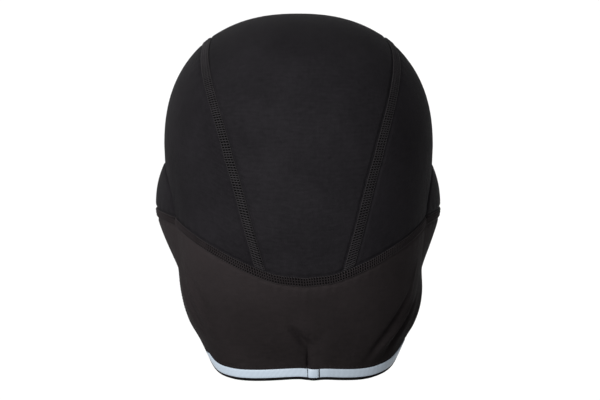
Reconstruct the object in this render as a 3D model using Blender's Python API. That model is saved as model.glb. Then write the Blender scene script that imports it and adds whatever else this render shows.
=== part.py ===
"""Helmet liner cap: a close stretch skull cap in sewn panels, in the form that it has when worn.

The origin is the top of the head, where the inside of the crown rests on it. +X is the wearer's
right, +Y is forward and +Z is up. Lengths are in metres.

The cloth is thought of as laid flat round the top of the crown: "across" and "ahead" are distances
on that flat cloth, and wrap() carries them onto the head. Every piece is drawn on the flat cloth
with the same few curves, so neighbours keep meeting when a size changes.
"""

import math
from collections import namedtuple

import bmesh
import bpy
import numpy as np

# The head that fills the cap, measured over the cloth.
CROWN_BREADTH = 0.1572
BACK_REACH = 0.098
FRONT_REACH = 0.093
BROW_DROP = 0.077
DOME_POWER = 2.3

# How far below the top of the crown the hem and the band's seam run.
HEM_BACK_DROP = 0.2060
HEM_EAR_DROP = 0.168
HEM_FRONT_DROP = 0.098
SEAM_BACK_DROP = 0.1475
SEAM_EAR_DROP = 0.1165
SEAM_FRONT_DROP = 0.070

# The hem hangs a little lower on the left, round this direction in degrees from the centre back.
HEM_LEFT_DIP = 0.0028
HEM_LEFT_TURN = -50
HEM_LEFT_SPREAD = 17

# The pouch over each ear: the direction of its middle and half its spread, in degrees from the back.
# Its panel's two pointed corners are cut short by a swing round the arch, in radians.
EAR_TURN = 97
EAR_SPREAD = 34
EAR_HEIGHT = 0.030
EAR_REACH = 0.0078
EAR_FALL = 0.031
EAR_FALL_POWER = 1.6
EAR_CORNER = 0.12

# Cloth, seams and trim.
CLOTH = 0.0016
SEWN_GAP = 0.0003
CENTRE_PANEL_WIDTH = 0.107
SEAM_WIDTH = 0.005
SEAM_THICKNESS = 0.0009
HEM_LIP = 0.0013
HEM_DEPTH = 0.012
HEM_CLOTH = 0.0012
HEM_BEVEL = 0.25
TAPE_WIDTH = 0.0053
TAPE_THICKNESS = 0.0005
TAPE_TURN = 59
TUCK_TURN = 3.8
TUCK_WIDTH = 0.006
TUCK_HEIGHT = 0.026
TUCK_DEPTH = 0.0022
TUCK_PROUD = 0.0005
TUCK_CREASE = 0.4
NECK_SWAY = 0.002

# Base colours and roughnesses.
KNIT = (0.018, 0.017, 0.019)
KNIT_ROUGHNESS = 0.75
THREAD = (0.022, 0.021, 0.022)
THREAD_ROUGHNESS = 0.6
SILVER = (0.50, 0.57, 0.64)
SILVER_ROUGHNESS = 0.35

# Grid columns round the cap, in its stretches from the centre back to the centre front, and rows.
BACK_COLUMNS = 12
SIDE_COLUMNS = 9
EAR_COLUMNS = 12
TEMPLE_COLUMNS = 5
BAND_ROWS = 9
SIDE_ROWS = 9
EAR_ROWS = 5
HEM_ROWS = 3
SEAM_ROWS = 2

# The step that measures a slope, the distance that merges vertices, the edge angle in degrees that is
# drawn sharp, and the steps that find where two runs meet.
SLOPE_STEP = 0.0002
MERGE = 1e-6
SHARP_ANGLE = 50
MEETING_STEPS = 20

# Level cuts through the wall of the cap: how far down from the brow to the hem (fall), the half
# breadth and the reaches as shares of the ones at the brow, and how square the cut's corners are.
Cut = namedtuple("Cut", "fall side back front square")
CUTS = (
    Cut(fall=0.00, side=1.000, back=1.000, front=1.000, square=2.3),
    Cut(fall=0.17, side=0.986, back=1.015, front=0.990, square=2.3),
    Cut(fall=0.32, side=0.960, back=1.005, front=0.970, square=2.4),
    Cut(fall=0.43, side=0.935, back=0.970, front=0.925, square=2.5),
    Cut(fall=0.55, side=0.908, back=0.918, front=0.860, square=2.6),
    Cut(fall=0.66, side=0.890, back=0.847, front=0.774, square=2.8),
    Cut(fall=0.73, side=0.865, back=0.800, front=0.700, square=2.9),
    Cut(fall=0.79, side=0.830, back=0.765, front=0.640, square=3.0),
    Cut(fall=0.86, side=0.765, back=0.730, front=0.580, square=3.2),
    Cut(fall=0.92, side=0.725, back=0.705, front=0.560, square=3.4),
    Cut(fall=1.00, side=0.700, back=0.684, front=0.540, square=3.4),
)

# The runs of the band's seam and of the hem round the head. The turn is 0 at the centre back and 1 at
# the centre front; the share is 1 at the back's drop, 0 at the ear's and -1 at the front's.
Run = namedtuple("Run", "turn share")
SEAM_RUN = (
    Run(turn=0.00, share=1.00),
    Run(turn=0.06, share=0.93),
    Run(turn=0.12, share=0.72),
    Run(turn=0.18, share=0.48),
    Run(turn=0.25, share=0.26),
    Run(turn=0.35, share=0.06),
    Run(turn=0.48, share=0.00),
    Run(turn=0.62, share=0.00),
    Run(turn=0.72, share=-0.20),
    Run(turn=0.82, share=-0.60),
    Run(turn=0.91, share=-0.90),
    Run(turn=1.00, share=-1.00),
)
HEM_RUN = (
    Run(turn=0.00, share=1.00),
    Run(turn=0.20, share=0.985),
    Run(turn=0.26, share=0.89),
    Run(turn=0.33, share=0.67),
    Run(turn=0.41, share=0.34),
    Run(turn=0.50, share=0.00),
    Run(turn=0.57, share=-0.20),
    Run(turn=0.64, share=-0.46),
    Run(turn=0.78, share=-0.84),
    Run(turn=1.00, share=-1.00),
)

# The edge of the centre panel, from its back end (0) to its front end (1), as shares of half its width.
Edge = namedtuple("Edge", "along share")
PANEL_EDGE = (
    Edge(along=0.00, share=0.92),
    Edge(along=0.12, share=0.965),
    Edge(along=0.25, share=0.99),
    Edge(along=0.50, share=1.00),
    Edge(along=1.00, share=0.98),
)

# Soft folds in the neck cloth. Each runs from one point to another, given as degrees from the centre
# back (the wearer's right is positive) and as the share of the way down from the seam to the hem. A
# fold has faded to nothing a little way past each of its two ends.
FOLD_PAST_END = 0.125
Fold = namedtuple("Fold", "turn_from down_from turn_to down_to width rise")
FOLDS = (
    Fold(turn_from=76, down_from=0.30, turn_to=34, down_to=0.88, width=0.0060, rise=-0.0016),
    Fold(turn_from=80, down_from=0.52, turn_to=46, down_to=0.95, width=0.0050, rise=0.0010),
    Fold(turn_from=-72, down_from=0.28, turn_to=-50, down_to=0.82, width=0.0070, rise=0.0012),
)


def eased(at, rows, along, value):
    """A table's value at each position: a cubic through its rows with the slopes of its neighbours."""
    known = np.array([getattr(row, along) for row in rows], float)
    values = np.array([getattr(row, value) for row in rows], float)
    slope = np.gradient(values, known)
    low = np.clip(np.searchsorted(known, at) - 1, 0, len(known) - 2)
    step = known[low + 1] - known[low]
    part = np.clip((at - known[low]) / step, 0, 1)
    start = (1 + 2 * part) * values[low] + part * step * slope[low]
    end = (3 - 2 * part) * values[low + 1] - (1 - part) * step * slope[low + 1]
    return (1 - part) ** 2 * start + part**2 * end


def level_drop(turn, run, back, ear, front):
    """The drop of a run at a turn in radians, between its three named drops."""
    share = eased(np.abs(turn) / math.pi, run, "turn", "share")
    return ear + np.clip(share, 0, None) * (back - ear) + np.clip(share, None, 0) * (ear - front)


def seam_drop(turn):
    return level_drop(turn, SEAM_RUN, SEAM_BACK_DROP, SEAM_EAR_DROP, SEAM_FRONT_DROP)


def hem_drop(turn):
    dip = HEM_LEFT_DIP * np.exp(-(((np.degrees(turn) - HEM_LEFT_TURN) / HEM_LEFT_SPREAD) ** 2))
    return dip + level_drop(turn, HEM_RUN, HEM_BACK_DROP, HEM_EAR_DROP, HEM_FRONT_DROP)


def dome_arc():
    return BROW_DROP * math.pi / 2


def reach_of(drop):
    """How far from the top a drop lies on the flat cloth: along the dome, then straight down the wall."""
    rest = np.clip(1 - drop / BROW_DROP, 0, 1)
    on_dome = dome_arc() * np.arccos(rest ** (DOME_POWER / 2)) / (math.pi / 2)
    return on_dome + np.clip(drop - BROW_DROP, 0, None)


def flat(turn, reach):
    """A turn and a reach as across and ahead on the flat cloth."""
    return reach * np.sin(turn), -reach * np.cos(turn)


def ear_bulge(turn, drop):
    """How far the ear pushes the cloth out: a lens above the band's seam, and a straight fall below it."""
    middle = (np.degrees(np.abs(turn)) - EAR_TURN) / EAR_SPREAD
    seam = seam_drop(turn)
    above = np.clip((seam - drop) / EAR_HEIGHT, 0, None)
    below = np.clip((drop - seam) / EAR_FALL, 0, 1)
    return EAR_REACH * np.clip(1 - middle**2 - above**2, 0, 1) * (1 - below**EAR_FALL_POWER)


def fold_rise(turn, drop, girth):
    """The folds' height: a bell across each fold's line, fading towards its two ends."""
    seam = seam_drop(turn)
    deep = hem_drop(turn) - seam
    down = (drop - seam) / deep
    rise = np.zeros_like(drop)
    for fold in FOLDS:
        run_turn = math.radians(fold.turn_to - fold.turn_from)
        run_down = fold.down_to - fold.down_from
        x, y = (turn - math.radians(fold.turn_from)) * girth, (down - fold.down_from) * deep
        line_x, line_y = run_turn * girth, run_down * deep
        length = np.hypot(line_x, line_y)
        along = (x * line_x + y * line_y) / length**2
        aside = (x * line_y - y * line_x) / length
        past = (along + FOLD_PAST_END) / (1 + 2 * FOLD_PAST_END)
        fade = np.sin(math.pi * np.clip(past, 0, 1)) ** 2
        rise = rise + fold.rise * fade * np.exp(-((aside / fold.width) ** 2))
    return rise


def tuck_rise(turn, drop, girth):
    """The pinch at the centre back: a crease that opens upwards from the hem and fades to nothing."""
    aside = (turn - math.radians(TUCK_TURN)) * girth + TUCK_WIDTH / 2
    up = np.clip((hem_drop(turn) - drop) / TUCK_HEIGHT, 0, 1)
    fade = (1 - up) ** 2 * (1 + 2 * up)
    return -TUCK_DEPTH * fade * np.exp(-((aside / (TUCK_CREASE * TUCK_WIDTH)) ** 2))


def wrap(across, ahead):
    """Points of the cap's outer face for points of the flat cloth, as an array of x, y and z."""
    across, ahead = np.broadcast_arrays(np.asarray(across, float), np.asarray(ahead, float))
    reach = np.hypot(across, ahead)
    turn = np.arctan2(across, -ahead)
    swing = np.clip(reach / dome_arc(), 0, 1) * math.pi / 2
    spread = np.sin(swing) ** (2 / DOME_POWER)
    dome = BROW_DROP * (1 - np.clip(np.cos(swing), 0, 1) ** (2 / DOME_POWER))
    drop = dome + np.clip(reach - dome_arc(), 0, None)
    fall = np.clip(drop - BROW_DROP, 0, None) / (HEM_BACK_DROP - BROW_DROP)
    side = CROWN_BREADTH / 2 * eased(fall, CUTS, "fall", "side")
    back = BACK_REACH * eased(fall, CUTS, "fall", "back")
    front = FRONT_REACH * eased(fall, CUTS, "fall", "front")
    square = eased(fall, CUTS, "fall", "square")
    sine, cosine = np.sin(turn), np.cos(turn)
    depth = np.where(cosine > 0, back, front)
    oval = (np.abs(sine) / side) ** square + (np.abs(cosine) / depth) ** square
    girth = spread * oval ** (-1 / square)
    girth = girth + fold_rise(turn, drop, girth) + tuck_rise(turn, drop, girth)
    x = girth * sine + np.sign(sine) * ear_bulge(turn, drop) + NECK_SWAY * fall**2
    return np.stack([x, -girth * cosine, CLOTH - drop], axis=-1)


def slopes(across, ahead):
    """How the outer face moves for a small step across and a small step ahead."""
    by_across = wrap(across + SLOPE_STEP, ahead) - wrap(across - SLOPE_STEP, ahead)
    by_ahead = wrap(across, ahead + SLOPE_STEP) - wrap(across, ahead - SLOPE_STEP)
    return by_across / (2 * SLOPE_STEP), by_ahead / (2 * SLOPE_STEP)


def lifted(across, ahead, lift):
    """Points that stand off the outer face by a lift, outwards where it is positive."""
    outward = np.cross(*slopes(across, ahead))
    outward /= np.linalg.norm(outward, axis=-1, keepdims=True)
    return wrap(across, ahead) + np.asarray(lift)[..., None] * outward


def across_step(across, ahead, distance):
    """The step across, on the flat cloth, that leaves this real distance beside a line that runs ahead."""
    by_across, by_ahead = slopes(across, ahead)
    e = (by_across * by_across).sum(-1)
    f = (by_across * by_ahead).sum(-1)
    g = (by_ahead * by_ahead).sum(-1)
    return distance * np.sqrt(g / (e * g - f * f))


def panel_half_width(along):
    return CENTRE_PANEL_WIDTH / 2 * eased(along, PANEL_EDGE, "along", "share")


def seam_meeting(across, forward):
    """The turn at which a line at this distance across meets the band's seam, behind or ahead of the top."""
    turn = np.full_like(across, math.pi if forward else 0.0)
    for _ in range(MEETING_STEPS):
        swing = np.arcsin(np.abs(across) / reach_of(seam_drop(turn)))
        turn = math.pi - swing if forward else swing
    return np.where(across < 0, -turn, turn)


def panel_line(share, along, inset=0.0, aside=0.0):
    """The centre panel on the flat cloth: share -1 to 1 runs from its left edge to its right one, along 0
    to 1 from its back end to its front one. Its ends stay inset from the band's seam, and aside moves the
    points out from the panel's middle by a real distance.
    """
    def ahead_of(across):
        ends = []
        for forward, sign in ((False, -1), (True, 1)):
            turn = seam_meeting(across[int(forward)], forward)
            ends.append(flat(turn, reach_of(seam_drop(turn)) - inset)[1])
        return ends[0] + along * (ends[1] - ends[0])

    back_half, front_half = panel_half_width(np.array([0.0, 1.0]))
    across = share * panel_half_width(along)
    ahead = ahead_of((share * back_half, share * front_half))
    if np.any(aside):
        step = np.sign(share) * across_step(across, ahead, aside)
        across = across + step
        ahead = ahead_of((share * back_half + step, share * front_half + step))
    return across, ahead


def corner_turns():
    """The turns at which the crown seam meets the band's seam, at the back and at the front."""
    ends = np.array([0.0, 1.0])
    half = panel_half_width(ends)
    return float(seam_meeting(half[:1], False)[0]), float(seam_meeting(half[1:], True)[0])


def ear_arch(swing, clear=0.0):
    """The turn and drop of the ear panel's arch, from its back corner (0) over the ear to its front (pi).

    The side panel's opening for it is the same arch with a clear gap all round.
    """
    size = 1 + clear / EAR_HEIGHT
    turn = math.radians(EAR_TURN) - math.radians(EAR_SPREAD) * size * np.cos(swing)
    return turn, seam_drop(turn) - EAR_HEIGHT * size * np.sin(swing)


def ear_swings():
    """The swings of the columns round the ear's arch: its two corners, and the panel's columns between."""
    return np.concatenate([[0], np.linspace(EAR_CORNER, math.pi - EAR_CORNER, EAR_COLUMNS - 1), [math.pi]])


def side_lower_edge(part):
    """The side panel's lower edge on the flat cloth: the band's seam, the ear's arch, the seam again."""
    back, front = corner_turns()
    ear_from, ear_to = ear_arch(np.array([0, math.pi]))[0]
    columns = np.cumsum([0, SIDE_COLUMNS, EAR_COLUMNS, TEMPLE_COLUMNS])
    column = part * columns[-1]
    turn = np.interp(column, columns, (back, ear_from, ear_to, front))
    swing = np.interp(column - columns[1], np.arange(EAR_COLUMNS + 1), ear_swings())
    arch_turn, arch_drop = ear_arch(swing, SEWN_GAP)
    over_ear = (column > columns[1]) & (column < columns[2])
    turn = np.where(over_ear, arch_turn, turn)
    along_seam = seam_drop(turn) - SEWN_GAP / 2
    drop = np.where(over_ear, np.minimum(arch_drop, along_seam), along_seam)
    return flat(turn, reach_of(drop))


def ring_turns():
    """The turns of the band's columns, which meet those of the panels above it."""
    back, front = corner_turns()
    share = np.linspace(0, 1, BACK_COLUMNS // 2 + 1)
    half = panel_half_width(np.array([0.0, 1.0]))
    behind = seam_meeting(share * half[0], False)
    ahead = seam_meeting(share[::-1] * half[1], True)
    ear = ear_arch(ear_swings())[0]
    side = np.linspace(back, ear[0], SIDE_COLUMNS + 1)
    temple = np.linspace(ear[-1], front, TEMPLE_COLUMNS + 1)
    right = np.concatenate([behind, side[1:], ear[1:], temple[1:], ahead[1:]])
    return np.sort(np.concatenate([-right[:0:-1], right, tuck_turns()]))


def tuck_turns():
    """The turns of the tuck's two edges at the hem."""
    middle = math.radians(TUCK_TURN)
    half = TUCK_WIDTH / 2 / (BACK_REACH * CUTS[-1].back)
    return np.array([middle - half, middle + half])


def unit_grid(columns, rows):
    """A square grid in a new bmesh, whose layer keeps each vertex's u and v from 0 to 1."""
    grid = bmesh.new()
    bmesh.ops.create_grid(grid, x_segments=columns, y_segments=rows, size=0.5)
    spot = grid.verts.layers.float_vector.new("spot")
    for vertex in grid.verts:
        vertex[spot] = (round(vertex.co.x + 0.5, 6), round(vertex.co.y + 0.5, 6), 0)
    return grid, spot


def settle(vertices, spot, place):
    """Moves each vertex to the point that place() gives for its u and v."""
    u, v, _ = np.array([vertex[spot] for vertex in vertices]).T
    for vertex, point in zip(vertices, place(u, v)):
        vertex.co = point


def make_piece(name, grid, material):
    """Turns the bmesh's faces outwards and makes it an object of the cap."""
    bmesh.ops.recalc_face_normals(grid, faces=grid.faces)
    if grid.calc_volume(signed=True) < 0:
        bmesh.ops.reverse_faces(grid, faces=grid.faces)
    mesh = bpy.data.meshes.new(name)
    grid.to_mesh(mesh)
    grid.free()
    mesh.shade_smooth()
    mesh.set_sharp_from_angle(angle=math.radians(SHARP_ANGLE))
    mesh.materials.append(material)
    cap.objects.link(bpy.data.objects.new(name, mesh))


def sheet(name, columns, rows, shape, material, lift=0.0, thickness=CLOTH):
    """A piece of cloth: a grid that shape() lays on the flat cloth, extruded inwards to its thickness.

    The inner face follows the same outward direction as the outer one, so two pieces that share an edge
    keep the same gap through their whole thickness, also over a ridge.
    """
    grid, spot = unit_grid(columns, rows)
    settle(grid.verts, spot, lambda u, v: lifted(*shape(u, v), lift * np.ones_like(u)))
    bmesh.ops.remove_doubles(grid, verts=grid.verts, dist=MERGE)
    made = bmesh.ops.extrude_face_region(grid, geom=grid.faces[:], use_keep_orig=True)
    inner = [item for item in made["geom"] if isinstance(item, bmesh.types.BMVert)]
    settle(inner, spot, lambda u, v: lifted(*shape(u, v), (lift - thickness) * np.ones_like(u)))
    make_piece(name, grid, material)


def plain_material(name, colour, roughness):
    material = bpy.data.materials.new(name)
    material.use_nodes = True
    shader = material.node_tree.nodes["Principled BSDF"]
    shader.inputs["Base Color"].default_value = (*colour, 1)
    shader.inputs["Roughness"].default_value = roughness
    shader.inputs["Metallic"].default_value = 0.0
    return material


def centre_panel(material):
    def shape(u, v):
        share = 2 * u - 1
        return panel_line(share, v, SEWN_GAP / 2, -np.abs(share) * SEWN_GAP / 2)

    sheet("centre_panel", BACK_COLUMNS, SIDE_COLUMNS + EAR_COLUMNS + TEMPLE_COLUMNS, shape, material)


def side_panel(name, side, material):
    """side is 1 for the wearer's right and -1 for the left."""

    def shape(u, v):
        along = u if side > 0 else 1 - u
        low_across, low_ahead = side_lower_edge(along)
        top_across, top_ahead = panel_line(np.ones_like(along), along, SEWN_GAP / 2, SEWN_GAP / 2)
        across = low_across + v * (top_across - low_across)
        ahead = low_ahead + v * (top_ahead - low_ahead)
        return side * across, ahead

    sheet(name, SIDE_COLUMNS + EAR_COLUMNS + TEMPLE_COLUMNS, SIDE_ROWS, shape, material)


def ear_panel(name, side, material):
    """side is 1 for the wearer's right and -1 for the left."""

    def shape(u, v):
        along = u if side > 0 else 1 - u
        turn, arch = ear_arch(EAR_CORNER + along * (math.pi - 2 * EAR_CORNER))
        low = seam_drop(turn) - SEWN_GAP / 2
        return flat(side * turn, reach_of(low + v * (arch - low)))

    sheet(name, EAR_COLUMNS - 2, EAR_ROWS, shape, material)


def neck_band(material):
    turns = ring_turns()
    stops = np.linspace(0, 1, len(turns))

    def shape(u, v):
        turn = np.interp(u, stops, turns)
        low = reach_of(hem_drop(turn)) - HEM_LIP - SEWN_GAP
        height = low - reach_of(seam_drop(turn) + SEWN_GAP / 2)
        row = v * BAND_ROWS
        above_tape = TAPE_WIDTH + (row - 1) / (BAND_ROWS - 1) * (height - TAPE_WIDTH)
        return flat(turn, low - np.where(row <= 1, row * TAPE_WIDTH, above_tape))

    sheet("neck_band", len(turns) - 1, BAND_ROWS, shape, material)


def hem_fold(material):
    """The turned hem: cloth that comes round under the band's edge and up inside it, as a closed ring."""
    near = -(CLOTH + 2 * SEWN_GAP)
    far = near - HEM_CLOTH
    climb = np.linspace(HEM_LIP, HEM_DEPTH, HEM_ROWS + 1)
    under = [near, near * HEM_BEVEL, 0]
    lifts = np.concatenate([[0], np.full_like(climb, near), np.full_like(climb, far), under])
    ups = np.concatenate([[HEM_LIP], climb, climb[::-1], [0, 0, HEM_LIP]])
    turns = ring_turns()
    stops = np.linspace(0, 1, len(turns))
    corners = np.linspace(0, 1, len(lifts))

    def place(u, v):
        turn = np.interp(u, stops, turns)
        reach = reach_of(hem_drop(turn)) - np.interp(v, corners, ups)
        return lifted(*flat(turn, reach), np.interp(v, corners, lifts))

    grid, spot = unit_grid(len(turns) - 1, len(lifts) - 1)
    settle(grid.verts, spot, place)
    bmesh.ops.remove_doubles(grid, verts=grid.verts, dist=MERGE)
    make_piece("hem_fold", grid, material)


def crown_seam(name, side, material):
    """The flat seam over the join of the centre panel and a side panel."""

    def shape(u, v):
        ones = np.ones_like(v)
        aside = (u - 0.5) * SEAM_WIDTH * side
        across, ahead = panel_line(ones, v, SEAM_WIDTH / 2 + 2 * SEWN_GAP, aside)
        return side * across, ahead

    columns = SIDE_COLUMNS + EAR_COLUMNS + TEMPLE_COLUMNS
    sheet(name, SEAM_ROWS, columns, shape, material, SEWN_GAP + SEAM_THICKNESS, SEAM_THICKNESS)


def band_seam(material):
    """The flat seam that joins the band to the crown, all the way round."""
    turns = ring_turns()
    stops = np.linspace(0, 1, len(turns))

    def shape(u, v):
        turn = np.interp(u, stops, turns)
        return flat(turn, reach_of(seam_drop(turn)) + (0.5 - v) * SEAM_WIDTH)

    rise = SEWN_GAP + SEAM_THICKNESS
    sheet("band_seam", len(turns) - 1, SEAM_ROWS, shape, material, rise, SEAM_THICKNESS)


def tape(name, turn_from, turn_to, lift, material):
    """A stretch of the reflective tape that lies along the hem, with columns where the band has them."""
    turns = ring_turns()
    turns = np.concatenate([[turn_from], turns[(turns > turn_from) & (turns < turn_to)], [turn_to]])
    stops = np.linspace(0, 1, len(turns))

    def shape(u, v):
        turn = np.interp(u, stops, turns)
        return flat(turn, reach_of(hem_drop(turn)) - HEM_LIP - SEWN_GAP - v * TAPE_WIDTH)

    sheet(name, len(turns) - 1, 1, shape, material, lift + TAPE_THICKNESS, TAPE_THICKNESS)


for old in list(bpy.data.objects):
    bpy.data.objects.remove(old)
cap = bpy.data.collections.new("Helmet liner cap")
bpy.context.scene.collection.children.link(cap)

centre_panel(plain_material("Crown knit", KNIT, KNIT_ROUGHNESS))
for side, word in ((1, "right"), (-1, "left")):
    side_panel(f"side_panel_{word}", side, plain_material(f"Side knit {word}", KNIT, KNIT_ROUGHNESS))
    ear_panel(f"ear_panel_{word}", side, plain_material(f"Ear knit {word}", KNIT, KNIT_ROUGHNESS))
    crown_seam(f"crown_seam_{word}", side, plain_material(f"Crown thread {word}", THREAD, THREAD_ROUGHNESS))
neck_band(plain_material("Band knit", KNIT, KNIT_ROUGHNESS))
hem_fold(plain_material("Hem knit", KNIT, KNIT_ROUGHNESS))
band_seam(plain_material("Band thread", THREAD, THREAD_ROUGHNESS))

tape_end = math.radians(TAPE_TURN)
tuck_from, tuck_to = tuck_turns()
tape_clear = SEWN_GAP / (BACK_REACH * CUTS[-1].back)
for word, turn_from, turn_to, lift in (
    ("left", -tape_end, tuck_from - tape_clear, SEWN_GAP),
    ("tuck", tuck_from, tuck_to, SEWN_GAP + TUCK_PROUD),
    ("right", tuck_to + tape_clear, tape_end, SEWN_GAP),
):
    silver = plain_material(f"Reflective tape {word}", SILVER, SILVER_ROUGHNESS)
    tape(f"reflective_tape_{word}", turn_from, turn_to, lift, silver)
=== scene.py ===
# %% [markdown]
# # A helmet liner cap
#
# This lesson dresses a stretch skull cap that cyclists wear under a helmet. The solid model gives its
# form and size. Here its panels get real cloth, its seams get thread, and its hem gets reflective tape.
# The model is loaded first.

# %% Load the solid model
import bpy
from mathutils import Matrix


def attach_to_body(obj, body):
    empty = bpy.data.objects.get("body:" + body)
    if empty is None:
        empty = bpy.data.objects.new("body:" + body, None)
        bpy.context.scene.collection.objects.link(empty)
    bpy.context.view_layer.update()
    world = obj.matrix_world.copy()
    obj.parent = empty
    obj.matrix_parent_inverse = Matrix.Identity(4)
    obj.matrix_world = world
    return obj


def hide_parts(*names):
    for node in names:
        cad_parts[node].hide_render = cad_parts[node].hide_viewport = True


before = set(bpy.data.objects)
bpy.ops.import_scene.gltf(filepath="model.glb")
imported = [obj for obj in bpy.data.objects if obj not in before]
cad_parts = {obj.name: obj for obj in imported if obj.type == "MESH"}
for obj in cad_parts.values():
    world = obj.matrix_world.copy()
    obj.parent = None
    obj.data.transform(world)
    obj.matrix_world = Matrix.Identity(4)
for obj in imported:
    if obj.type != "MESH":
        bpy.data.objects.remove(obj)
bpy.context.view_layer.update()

import math
from collections import namedtuple

import bpy
import numpy as np
from mathutils import Vector

print("solids:", sorted(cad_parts))

# %% [markdown]
# ## The camera
#
# The photograph looks at the back of the cap from slightly above, through a long lens. The camera stands
# 2 m from a point in the middle of the cap, and its aim is moved a little, so that the cap sits where
# the photo has it.

# %% Set the camera
TURN_FROM_BACK = math.radians(-2.0)
LOOK_DOWN = math.radians(5.5)
DISTANCE = 2.0
PICTURE_WIDTH = 0.35294
SENSOR = 36.0
MIDDLE = np.array([0.0, 0.0, -0.107])
AIM_RIGHT = 0.00106
AIM_DOWN = 0.00082


def add_object(name, data):
    """A new object at the origin, linked into the scene."""
    made = bpy.data.objects.new(name, data)
    bpy.context.scene.collection.objects.link(made)
    return made


def set_camera():
    """The way to the camera is (sin turn * cos down, -cos turn * cos down, sin down)."""
    to_camera = np.array([
        math.sin(TURN_FROM_BACK) * math.cos(LOOK_DOWN),
        -math.cos(TURN_FROM_BACK) * math.cos(LOOK_DOWN),
        math.sin(LOOK_DOWN),
    ])
    right = np.array([math.cos(TURN_FROM_BACK), math.sin(TURN_FROM_BACK), 0.0])
    up = np.cross(to_camera, right)
    aim = MIDDLE + AIM_RIGHT * right - AIM_DOWN * up
    camera = add_object("camera", bpy.data.cameras.new("camera"))
    camera.data.sensor_width = SENSOR
    camera.data.lens = SENSOR * DISTANCE / PICTURE_WIDTH
    camera.data.clip_end = 200.0
    camera.location = aim + DISTANCE * to_camera
    camera.rotation_euler = (math.pi / 2 - LOOK_DOWN, 0.0, TURN_FROM_BACK)
    bpy.context.scene.camera = camera
    return camera


camera = set_camera()
print(f"lens {camera.data.lens:.0f} mm at {DISTANCE} m")

# %% [markdown]
# ## The form of the cap
#
# A worn cap is as round as the head in it. Sculpted by hand, every panel would have edges that have to
# be matched up. Instead the whole cap is one formula: the cloth is thought of as laid flat
# round the top of the crown, and a function carries each point of the flat cloth onto the head. A panel
# is then a shape that is drawn on the flat cloth, and neighbours meet because they share a line there.
# The sizes below are the solid model's own.

# %% The head's sizes
CROWN_BREADTH = 0.1572
BACK_REACH = 0.098
FRONT_REACH = 0.093
BROW_DROP = 0.077
DOME_POWER = 2.3
DOME_ARC = BROW_DROP * math.pi / 2
HEM_DROPS = (0.2060, 0.168, 0.098)
SEAM_DROPS = (0.1475, 0.1165, 0.070)
HEM_LEFT_DIP = 0.0028
HEM_LEFT_TURN = -50
HEM_LEFT_SPREAD = 17
HEM_TUCK_DIP = 0.0007
HEM_TUCK_TURN = 3.4
HEM_TUCK_SPREAD = 4.5
EAR_TURN = 97
EAR_SPREAD = 34
EAR_HEIGHT = 0.030
EAR_REACH = 0.0078
EAR_FALL = 0.031
EAR_FALL_POWER = 1.6
CLOTH = 0.0016
NECK_SWAY = 0.002
PANEL_WIDTH = 0.107

# The columns are how far down the wall a level cut lies, its half breadth and its reach to the back and
# to the front as shares of the ones at the brow, and how square its corners are.
CUTS = np.array([
    (0.00, 1.000, 1.000, 1.000, 2.3),
    (0.17, 0.986, 1.015, 0.990, 2.3),
    (0.32, 0.960, 1.005, 0.970, 2.4),
    (0.43, 0.935, 0.970, 0.925, 2.5),
    (0.55, 0.908, 0.918, 0.860, 2.6),
    (0.66, 0.890, 0.847, 0.774, 2.8),
    (0.73, 0.865, 0.800, 0.700, 2.9),
    (0.79, 0.830, 0.765, 0.640, 3.0),
    (0.86, 0.765, 0.730, 0.580, 3.2),
    (0.92, 0.725, 0.705, 0.560, 3.4),
    (1.00, 0.700, 0.684, 0.540, 3.4),
]).T

# How far round a run is, from the centre back at 0 to the centre front at 1, and its height there: 1 is
# the drop at the back, 0 the drop at the ear and -1 the drop at the front.
SEAM_RUN = np.array([
    (0.00, 1.00), (0.06, 0.93), (0.12, 0.72), (0.18, 0.48), (0.25, 0.26), (0.35, 0.06),
    (0.48, 0.00), (0.62, 0.00), (0.72, -0.20), (0.82, -0.60), (0.91, -0.90), (1.00, -1.00),
]).T
HEM_RUN = np.array([
    (0.00, 1.00), (0.20, 0.985), (0.26, 0.89), (0.33, 0.67), (0.41, 0.34), (0.50, 0.00),
    (0.57, -0.20), (0.64, -0.46), (0.78, -0.84), (1.00, -1.00),
]).T
PANEL_EDGE = np.array([(0.00, 0.92), (0.12, 0.965), (0.25, 0.99), (0.50, 1.00), (1.00, 0.98)]).T
print(f"the crown is {CROWN_BREADTH * 1000:.0f} mm wide and the hem hangs {HEM_DROPS[0] * 1000:.0f} mm down")

# %% [markdown]
# A table of a few rows is turned into a smooth line by a cubic between its rows. The band's seam and the
# hem are two such lines round the head.

# %% Smooth lines through short tables
def eased(at, known, values):
    """A cubic from row to row: each end has the mean slope of the rows beside it."""
    slope = np.gradient(values, known)
    low = np.clip(np.searchsorted(known, at) - 1, 0, len(known) - 2)
    step = known[low + 1] - known[low]
    part = np.clip((at - known[low]) / step, 0, 1)
    start = (1 + 2 * part) * values[low] + part * step * slope[low]
    end = (3 - 2 * part) * values[low + 1] - (1 - part) * step * slope[low + 1]
    return (1 - part) ** 2 * start + part**2 * end


def bell(distance, width):
    """1 on the line and e to the minus (distance / width) squared beside it."""
    return np.exp(-((distance / width) ** 2))


def level_drop(turn, run, drops):
    """The ear's drop, plus the run's height times the way to the back's drop or to the front's."""
    back, ear, front = drops
    share = eased(np.abs(turn) / math.pi, *run)
    return ear + np.clip(share, 0, None) * (back - ear) + np.clip(share, None, 0) * (ear - front)


def seam_drop(turn):
    """The level drop of the seam's run."""
    return level_drop(turn, SEAM_RUN, SEAM_DROPS)


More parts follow.
